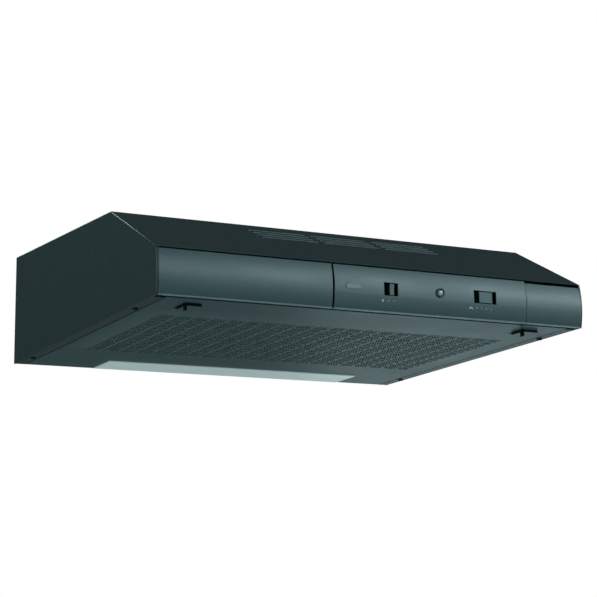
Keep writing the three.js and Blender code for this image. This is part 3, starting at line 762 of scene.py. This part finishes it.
def chain(name, points):
    """A string of edges through points, in millimetres, drawn vertex by vertex."""
    clear_selection()
    bpy.ops.mesh.primitive_plane_add(size=0.001)
    piece = settle(name)
    bpy.ops.object.mode_set(mode="EDIT")
    bpy.ops.mesh.select_mode(type="VERT")
    bpy.ops.mesh.select_all(action="SELECT")
    bpy.ops.mesh.merge(type="CENTER")
    bpy.ops.transform.translate(value=[v * MM for v in points[0]])
    for here, there in zip(points, points[1:]):
        step = [(b - a) * MM for a, b in zip(here, there)]
        bpy.ops.mesh.extrude_vertices_move(TRANSFORM_OT_translate={"value": step})
    bpy.ops.object.mode_set(mode="OBJECT")
    return piece


def turned(name, profile, centre, along="z", sides=64):
    """A closed [radius, place along the axis] outline turned about an axis. Centre is in X, Y, Z order."""
    piece = chain(name, [(radius, 0, height) for radius, height in profile + profile[:1]])
    apply_modifier(piece, "SCREW", axis="Z", steps=sides, render_steps=sides, angle=2 * math.pi,
                   use_merge_vertices=True, merge_threshold=1e-6)
    bpy.ops.object.mode_set(mode="EDIT")
    bpy.ops.mesh.select_all(action="SELECT")
    bpy.ops.mesh.remove_doubles(threshold=1e-6)
    bpy.ops.object.mode_set(mode="OBJECT")
    face_out(piece)
    turns = {
        "x": Matrix.Rotation(math.pi / 2, 4, "Y"),
        "y": Matrix.Rotation(-math.pi / 2, 4, "X"),
        "z": Matrix(),
    }
    spot = list(centre)
    spot.insert("xyz".index(along), 0)
    place(piece, Matrix.Translation([v * MM for v in spot]) @ turns[along])
    smooth(piece, 40)
    return piece


def filter_mat():
    """A soft mat with rounded edges and an uneven face."""
    piece = block("filter_mat", (-269.0, -419.0, 2.4), (269.0, -111.0, 8.6))
    soften(piece, 2.4, 3)
    select_where(piece, "FACE", lambda middle, way: True)
    bpy.ops.mesh.subdivide(number_cuts=22)
    bpy.ops.object.mode_set(mode="OBJECT")
    lumps = bpy.data.textures.new("mat_lumps", "CLOUDS")
    lumps.noise_scale = 0.03
    apply_modifier(piece, "DISPLACE", texture=lumps, texture_coords="LOCAL", strength=1.1 * MM, mid_level=0.5)
    smooth(piece, 50)
    place(piece, UNDERSIDE)
    return finish_piece(piece, "grille", "fleece", "grease_filter")


filter_mat()


def outlet_spigot():
    """The collar for the duct: a rolled rim, two gripping beads and a foot flange with a fillet."""
    profile = [
        (58.0, -3.2), (66.6, -3.2), (67.0, -2.8), (67.0, -1.7), (66.6, -1.4), (61.6, -1.4), (60.5, -0.8),
        (60.0, 0.4), (59.7, 12.0), (60.0, 12.8), (60.0, 13.8), (59.7, 14.6), (59.7, 19.0), (60.0, 19.8),
        (60.0, 20.8), (59.7, 21.6), (59.5, 26.6), (59.2, 27.6), (58.7, 28.0), (58.2, 27.6), (58.0, 26.6),
    ]
    return finish_piece(turned("outlet_collar_ring", profile, (0, 70.0), sides=96), "casing", "black_plastic",
                        "outlet_spigot")


outlet_spigot()


def fan_motor():
    """The motor's can: stepped end bells, a seam and cooling ribs round its middle."""
    profile = [(4.7, -41.8), (19.0, -41.8), (21.0, -41.0), (25.6, -37.4), (27.4, -36.8), (28.0, -36.2)]
    for rib in range(9):
        start = -33.0 + rib * 4.0
        profile += [(28.0, start - 1.0), (27.0, start - 0.6), (27.0, start + 0.6), (28.0, start + 1.0)]
    profile += [(28.0, 2.2), (27.4, 2.8), (25.6, 3.4), (21.0, 7.0), (19.0, 7.8), (4.7, 7.8)]
    return finish_piece(turned("motor_can", profile, (30.0, -70.0), "x", 48), "casing", "aluminium", "motor")


fan_motor()


def cable_gland():
    """A flanged bush with a nut below the plate."""
    profile = [
        (4.6, -8.9), (7.6, -8.9), (8.5, -8.2), (8.5, -1.6), (6.6, -1.3), (6.6, 0.4), (9.4, 0.4),
        (9.9, 0.8), (9.7, 1.6), (8.2, 2.2), (5.6, 2.2), (4.6, 1.2),
    ]
    return finish_piece(turned("gland_bush", profile, (-200.0, 140.0), sides=48), "casing", "black_plastic",
                        "cable_gland")


cable_gland()


def lamp_lens():
    """A shallow tray with rounded edges, ribbed inside."""
    (x0, y0), (x1, y1) = LENS_WINDOW
    piece = block("lens_tray", (x0 + 0.5, y0 + 0.5, -1.5), (x1 - 0.5, y1 - 0.5, 3.0))
    select_where(piece, "FACE", lambda middle, way: way.z > 0.9)
    bpy.ops.mesh.inset(thickness=2.0 * MM)
    bpy.ops.mesh.extrude_region_move(TRANSFORM_OT_translate={"value": (0, 0, -2.6 * MM)})
    bpy.ops.object.mode_set(mode="OBJECT")
    soften(piece, 0.9, 3)
    place(piece, UNDERSIDE)
    return finish_piece(piece, "grille", "clear_plastic", "lamp_lens")


lamp_lens()


def latch(word, side):
    """A slide behind the sheet: a long rib through its slot, a cross rib and a fin at their corner."""
    half, front, rear = LATCH_WINDOW
    centre = side * LATCH_X
    left = centre - half + 0.5 + LATCH_SHIFT[side]
    bars = [
        block("keeper", (left - 4, front - 3.5, 1.5), (centre + half + 3.5, rear - 7.5, 3.2)),
        block("long_rib", (left, front + 0.5, -3.2), (left + 2.4, rear - 7.5, 2.4)),
        block("cross", (left, front + 0.5, -3.4), (centre + half - 0.5, front + 3.0, -0.3)),
        block("fin", (left + 0.2, front + 0.6, -9.0), (left + 2.0, front + 8.0, -0.4)),
        block("tongue", (centre - 6, PANEL_FRONT - 0.9, 2.2), (centre + 6, front, 3.2)),
    ]
    for bar in bars:
        soften(bar, 0.4, 2)
    piece = join(f"latch_{word}_slide", *bars)
    place(piece, UNDERSIDE)
    return finish_piece(piece, f"{word}_latch", "black_plastic", f"latch_{word}")


latch("left", -1)
latch("right", 1)


# ------------------------------------------------------------------ side panels
CHEEK = 3.0
CHEEK_ROUND = 1.4


def side_panel(word, side):
    """A thick-edged cheek trimmed to the hood's outline, with the flanges that its neighbours screw to."""
    inner, outer = side * (HALF - CHEEK), side * HALF
    piece = block(f"side_{word}_sheet", (inner, -324.0, FLOOR_Z), (outer, WALL_Y, 0))
    trims = [
        ((0, WALL_Y, FLOOR_Z), (0, -math.sin(TILT), -math.cos(TILT))),
        ((0, RIDGE_Y, 0), (0, -math.sin(SLOPE_ANGLE), math.cos(SLOPE_ANGLE))),
    ]
    outline = bow(SLOPE_FOOT, FACE_FOOT, FACE_BOW)
    for (ya, za), (yb, zb) in zip(outline, outline[1:]):
        trims.append(((0, ya, za), (0, zb - za, ya - yb)))
    for point, normal in trims:
        cut_line(piece, point, normal, use_fill=True, clear_outer=True)
    face_out(piece)
    select_where(piece, "EDGE", lambda co: abs(co.x - outer) < 0.01)
    bpy.ops.mesh.bevel(offset=CHEEK_ROUND * MM, segments=4, affect="EDGES")
    bpy.ops.object.mode_set(mode="OBJECT")

    # A painted highlight along the rounded edge where the cheek meets the slope.
    def edge_highlight(co):
        on_round = 0.05 < HALF - abs(co.x) < CHEEK_ROUND - 0.1
        on_slope = co.z > SLOPE_FOOT[1] and co.y < RIDGE_Y + 0.5
        return 0.6 if on_round and on_slope else 0.0

    mark_lit_edges(piece, edge_highlight)
    smooth(piece, 30)
    low = block("low_flange", (side * (HALF - 16), -479.6, 0), (side * (HALF - 2), -1.4, 1.0))
    soften(low, 0.25, 2)
    place(low, UNDERSIDE)
    top = block("top_flange", (side * (HALF - 15), RIDGE_Y + 3, -2.3), (side * (HALF - 2), WALL_Y - 4, -1.3))
    rear = block("rear_flange", (side * (HALF - 12), 172.7, FLOOR_Z + 2), (side * (HALF - 2), 173.7, -1.3))
    piece = join(f"side_{word}_sheet", piece, low, top, rear)
    return finish_piece(piece, "casing", "black_paint", f"{word}_side_panel")


side_panel("left", -1)
side_panel("right", 1)


def flange_screw(word, side, spot):
    """A pan head with a cross recess."""
    z = FLOOR_Z + (WALL_Y - spot) * math.tan(TILT)
    x = side * (HALF - 9)
    piece = drum(f"flange_screw_{word}_head", 3.5, z - 1.8, z - 0.3, (x, spot), sides=28)
    select_where(piece, "FACE", lambda middle, way: way.z < -0.9)
    bpy.ops.mesh.inset(thickness=0.9 * MM)
    bpy.ops.mesh.bevel(offset=0.3 * MM, segments=2, affect="EDGES")
    bpy.ops.object.mode_set(mode="OBJECT")
    carve(piece,
          block("recess_along", (x - 2.2, spot - 0.45, z - 3), (x + 2.2, spot + 0.45, z - 1.0)),
          block("recess_across", (x - 0.45, spot - 2.2, z - 3), (x + 0.45, spot + 2.2, z - 1.0)))
    shank = drum("shank", 1.55, z - 0.4, z + 8, (x, spot), sides=16)
    soften(shank, 0.3, 2)
    piece = join(piece.name, piece, shank)
    smooth(piece)
    return finish_piece(piece, "casing", "bright_steel", f"flange_screw_{word}", finish="blackened_steel")


for word, side in (("left", -1), ("right", 1)):
    flange_screw(f"front_{word}", side, -236.0)
    flange_screw(f"rear_{word}", side, 120.0)


# ------------------------------------------------------------------ controls
def slide_knob(name, body, node, middle, width):
    """A slide button that stands just behind the fascia's face, dished, with a push lip along its foot."""
    left, right = middle - width / 2, middle + width / 2
    low, high = WINDOW_Z[0] + 0.8, WINDOW_Z[1] - 0.9
    piece = block(name, (left, FACE_FRONT + 0.9, low), (right, -309.3, high))
    select_where(piece, "FACE", lambda centre, way: way.y < -0.9)
    bpy.ops.mesh.inset(thickness=0.7 * MM)
    bpy.ops.mesh.extrude_region_move(TRANSFORM_OT_translate={"value": (0, 0.35 * MM, 0)})
    bpy.ops.object.mode_set(mode="OBJECT")
    soften(piece, 0.25, 2)
    lip = block("lip", (left, FACE_FRONT + 0.2, low), (right, FACE_FRONT + 1.5, low + 1.4))
    soften(lip, 0.35, 3)
    return finish_piece(join(name, piece, lip), body, "fascia_plastic", node)


slide_knob("light_slide_button", "light_slider", "light_knob", 12.4, 6.0)
slide_knob("fan_slide_button", "fan_slider", "fan_knob", 149.4, 19.5)


def pilot_lamp():
    """A black ring with a sloped inner wall round a small domed lens."""
    x, z, front = 81.2, -93.4, FACE_FRONT
    ring = drum("pilot_ring", 6.0, front - 1.5, front + 0.5, (x, z), "y")
    select_where(ring, "FACE", lambda middle, way: way.y < -0.9)
    bpy.ops.mesh.inset(thickness=1.6 * MM)
    bpy.ops.mesh.inset(thickness=0.5 * MM)
    bpy.ops.transform.translate(value=(0, 1.2 * MM, 0))
    bpy.ops.object.mode_set(mode="OBJECT")
    soften(ring, 0.3, 3)
    finish_piece(ring, "casing", "black_plastic", "indicator_bezel")
    lens = drum("pilot_lens", 3.4, front - 0.9, front + 6, (x, z), "y")
    for width, rise in ((0.7, 0.35), (0.9, 0.3), (0.9, 0.15)):
        select_where(lens, "FACE", lambda middle, way: way.y < -0.95 and abs(middle.x - x) < 0.1)
        bpy.ops.mesh.inset(thickness=width * MM)
        bpy.ops.transform.translate(value=(0, -rise * MM, 0))
        bpy.ops.object.mode_set(mode="OBJECT")
    smooth(lens, 60)
    return finish_piece(lens, "casing", "clear_plastic", "indicator_lens", finish="pilot_plastic")


pilot_lamp()


def on_face(x, z, proud=0.06):
    """A matrix that lays a flat drawing, in millimetres, on the fascia at a place."""
    lean = math.atan2(face_y(z + 1) - face_y(z - 1), 2.0)
    spot = Matrix.Translation((x * MM, (face_y(z) - proud) * MM, z * MM))
    return spot @ Matrix.Rotation(math.pi / 2 + lean, 4, "X") @ Matrix.Scale(MM, 4)


def printed(piece, x, z):
    apply_modifier(piece, "SOLIDIFY", thickness=0.12, offset=0.0)
    return place(piece, on_face(x, z))


def disc_mark(radii, shift=(0, 0), turn=0.0):
    clear_selection()
    bpy.ops.mesh.primitive_circle_add(vertices=20, radius=1, fill_type="NGON")
    piece = settle("mark", (*radii, 1))
    return place(piece, Matrix.Rotation(turn, 4, "Z") @ Matrix.Translation((*shift, 0)))


def numeral(digit, x, z, height=4.6):
    clear_selection()
    bpy.ops.object.text_add()
    text = bpy.context.object
    text.data.body = digit
    text.data.size = height
    text.data.align_x = "CENTER"
    text.data.align_y = "CENTER"
    text.data.resolution_u = 3
    bpy.ops.object.convert(target="MESH")
    return printed(settle("numeral"), x, z)


MARK_Z = -108.3


def printed_marks():
    marks = [numeral(digit, x, MARK_Z) for digit, x in (("0", 7.0), ("1", 14.4))]
    speeds = (("0", 135.6), ("1", 142.5), ("2", 149.4), ("3", 156.3))
    marks += [numeral(digit, x, MARK_Z) for digit, x in speeds]
    marks.append(printed(disc_mark((1.7, 1.7), (0, 0.7)), -1.4, MARK_Z))
    marks.append(printed(disc_mark((0.8, 0.9), (0, -1.7)), -1.4, MARK_Z))
    for blade in range(3):
        shape = disc_mark((0.85, 1.6), (0, 1.75), blade * 2 * math.pi / 3)
        marks.append(printed(shape, 126.6, MARK_Z))
    return finish_piece(join("control_marks", *marks), "casing", "fascia_plastic", finish="ink")


printed_marks()


def badge():
    """A blank plate with a rounded rim."""
    y = face_y(-93.8)
    piece = block("blank_badge", (-52.0, y - 0.6, -97.2), (-31.0, y + 0.6, -90.4))
    select_where(piece, "FACE", lambda middle, way: way.y < -0.9)
    bpy.ops.mesh.inset(thickness=0.8 * MM)
    bpy.ops.mesh.extrude_region_move(TRANSFORM_OT_translate={"value": (0, 0.3 * MM, 0)})
    bpy.ops.object.mode_set(mode="OBJECT")
    soften(piece, 0.2, 2)
    return finish_piece(piece, "casing", "bright_steel", finish="badge_metal")


badge()


# ------------------------------------------------------------------ stage
COOL = (0.74, 0.97, 1.0)
FLOOR_DEPTH = -3.0  # far enough down to stay out of views from below
WORLD_LIGHT = 0.055  # what the surroundings give the hood, while the camera sees them white


def make_stage():
    clear_selection()
    bpy.ops.mesh.primitive_plane_add(size=60, location=(0, 0, FLOOR_DEPTH))
    floor = settle("studio_floor")
    pale = Finish("studio_floor", (0.86, 0.88, 0.88), 0.9, Emission_Strength=1.0)
    direct = pale.node("ShaderNodeLightPath", output="Is Camera Ray")
    pale.feed("Emission Color", pale.mix(direct, (0, 0, 0, 1), (0.52, 0.54, 0.54, 1)))
    floor.data.materials.append(pale.material)
    world = bpy.data.worlds.new("studio")
    bpy.context.scene.world = world
    world.use_nodes = True
    tree = world.node_tree
    backdrop = next(n for n in tree.nodes if n.type == "BACKGROUND")
    cast = tree.nodes.new("ShaderNodeMix")
    cast.data_type = "RGBA"
    cast.inputs["A"].default_value = (*COOL, 1)
    cast.inputs["B"].default_value = (1, 1, 1, 1)
    seen = tree.nodes.new("ShaderNodeLightPath")
    level = tree.nodes.new("ShaderNodeMapRange")
    level.inputs["To Min"].default_value = WORLD_LIGHT
    level.inputs["To Max"].default_value = 1.0
    tree.links.new(seen.outputs["Is Camera Ray"], level.inputs["Value"])
    tree.links.new(seen.outputs["Is Camera Ray"], cast.inputs["Factor"])
    tree.links.new(cast.outputs["Result"], backdrop.inputs["Color"])
    tree.links.new(level.outputs["Result"], backdrop.inputs["Strength"])
    bpy.context.scene.view_settings.view_transform = "Standard"


def soft_light(name, position, target, size, power):
    data = bpy.data.lights.new(name, "AREA")
    data.shape = "RECTANGLE"
    data.size, data.size_y = size
    data.energy = power
    data.color = COOL
    light = bpy.data.objects.new(name, data)
    bpy.context.scene.collection.objects.link(light)
    light.location = position
    light.visible_camera = False
    light.rotation_euler = (Vector(target) - Vector(position)).to_track_quat("-Z", "Y").to_euler()


make_stage()
soft_light("key_box", (1.75, -2.4, 0.92), (0, -0.32, -0.1), (2.3, 0.55), 48)
soft_light("rear_box", (2.4, 2.4, -0.8), (0.1, -0.1, -0.15), (1.8, 0.7), 4.0)
soft_light("left_box", (-2.9, -0.6, 0.7), (-0.3, -0.15, -0.03), (1.0, 1.0), 44)
soft_light("rim_box", (-0.6, 1.8, 1.9), (-0.3, -0.25, -0.03), (0.8, 0.3), 12)
soft_light("back_box", (0.9, 2.8, 0.75), (0, 0.17, -0.06), (1.5, 0.9), 34)
soft_light("floor_box", (0, 0, -0.9), (0, 0.001, FLOOR_DEPTH), (4.0, 4.0), 60)

clear_selection()
